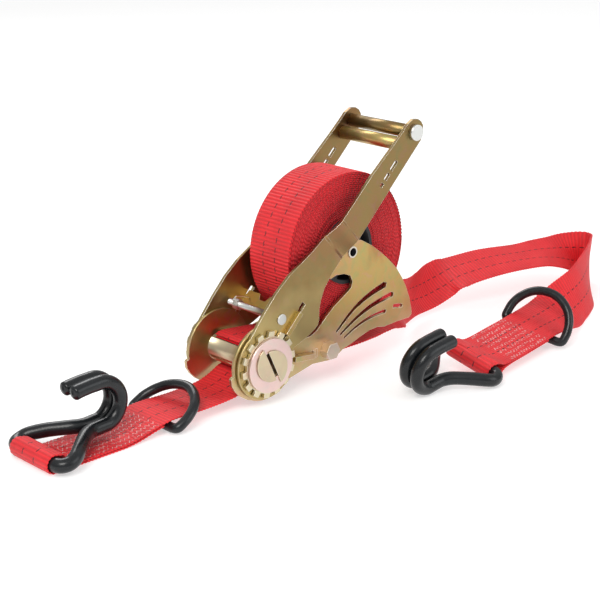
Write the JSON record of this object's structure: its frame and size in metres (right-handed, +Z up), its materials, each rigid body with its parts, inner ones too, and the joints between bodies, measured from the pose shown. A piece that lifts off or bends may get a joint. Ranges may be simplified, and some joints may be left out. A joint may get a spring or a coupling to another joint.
{
  "type": "ratchet strap",
  "caption": "Ratchet tie-down strap with a toothed lever buckle, webbing stored on a spool inside it, a double-J hook and a D-ring on each end.",
  "frame": {"origin": "on the floor, at the plan centre of the whole strap's bounding box", "axes": "+Z up; X runs along the strap from the lead hook towards the folded short strap; the buckle's spindle axis is parallel to Y"},
  "size_m": [0.7118, 0.2092, 0.2219],
  "materials": {
    "zinc_plate": "yellow passivated zinc, satin",
    "pale_zinc": "pale iridescent zinc, satin",
    "bright_steel": "bright zinc",
    "webbing": "ribbed woven polyester",
    "vinyl_coat": "glossy dipped vinyl",
    "black_plastic": "moulded"
  },
  "bodies": {
    "buckle_frame": {"frame_plate_near": "zinc_plate", "frame_plate_far": "zinc_plate", "frame_bolt": "pale_zinc", "frame_nut": "pale_zinc", "bolt_sleeve": "bright_steel", "lock_spring_plate": "zinc_plate", "spool_axle": "bright_steel", "lead_strap": "webbing", "web_tail": "webbing", "fixed_strap": "webbing", "lock_pawl_springs": "bright_steel"},
    "handle": {"handle_plate_near": "zinc_plate", "handle_plate_far": "zinc_plate", "grip_tube": "zinc_plate", "grip_bolt": "bright_steel", "grip_nut": "bright_steel", "cross_tube": "zinc_plate", "spring_rod": "bright_steel", "drive_pawl_springs": "bright_steel"},
    "drive_pawl": {"drive_pawl": "zinc_plate"},
    "lock_pawl": {"lock_pawl": "zinc_plate"},
    "spindle": {"spindle_half_rear": "bright_steel", "spindle_half_front": "bright_steel", "gear_near": "zinc_plate", "gear_far": "zinc_plate", "cap_near": "pale_zinc", "cap_far": "pale_zinc", "web_in_slot": "webbing", "spindle_pins": "bright_steel"},
    "spool": {"spool_core": "black_plastic", "web_roll": "webbing"},
    "lead_hook": {"lead_hook": "vinyl_coat"},
    "fixed_hook": {"fixed_hook": "vinyl_coat"},
    "lead_ring": {"lead_ring": "vinyl_coat"},
    "fixed_ring": {"fixed_ring": "vinyl_coat"}
  },
  "joints": [
    {"name": "handle_hinge", "type": "hinge", "parent": "buckle_frame", "child": "handle", "pos_m": [-0.13824, 0.0392, 0.0365], "axis": [0, -1, 0], "range_deg": [0, 102.86]},
    {"name": "spindle_spin", "type": "hinge", "parent": "buckle_frame", "child": "spindle", "pos_m": [-0.13824, 0.0392, 0.0365], "axis": [0, -1, 0], "continuous": true},
    {"name": "spool_spin", "type": "hinge", "parent": "buckle_frame", "child": "spool", "pos_m": [-0.03574, 0.0392, 0.113], "axis": [0, -1, 0], "continuous": true},
    {"name": "drive_pawl_slide", "type": "slide", "parent": "handle", "child": "drive_pawl", "axis": [-0.6959, 0, -0.7181], "range_m": [0, 0.0044], "deforming": ["drive_pawl_springs"]},
    {"name": "lock_pawl_slide", "type": "slide", "parent": "buckle_frame", "child": "lock_pawl", "axis": [-0.9953, 0, 0.0963], "range_m": [0, 0.0044], "deforming": ["lock_pawl_springs"]},
    {"name": "lead_hook_pivot", "type": "hinge", "parent": "buckle_frame", "child": "lead_hook", "pos_m": [-0.34717, 0.03373, 0.0081], "axis": [0.0262, -0.9997, 0], "range_deg": [0, 75]},
    {"name": "fixed_hook_pivot", "type": "hinge", "parent": "buckle_frame", "child": "fixed_hook", "pos_m": [0.04076, -0.0668, 0.015], "axis": [-0.0028, 0.977, 0.2131], "range_deg": [0, 75]},
    {"name": "lead_ring_swing", "type": "hinge", "parent": "buckle_frame", "child": "lead_ring", "pos_m": [-0.23303, 0.03772, 0.0043], "axis": [-0.0175, -0.9998, 0], "range_deg": [0, 45]},
    {"name": "fixed_ring_swing", "type": "hinge", "parent": "buckle_frame", "child": "fixed_ring", "pos_m": [0.14776, -0.0494, 0.0123], "axis": [0.1695, -0.9615, -0.2164], "range_deg": [0, 40]}
  ]
}
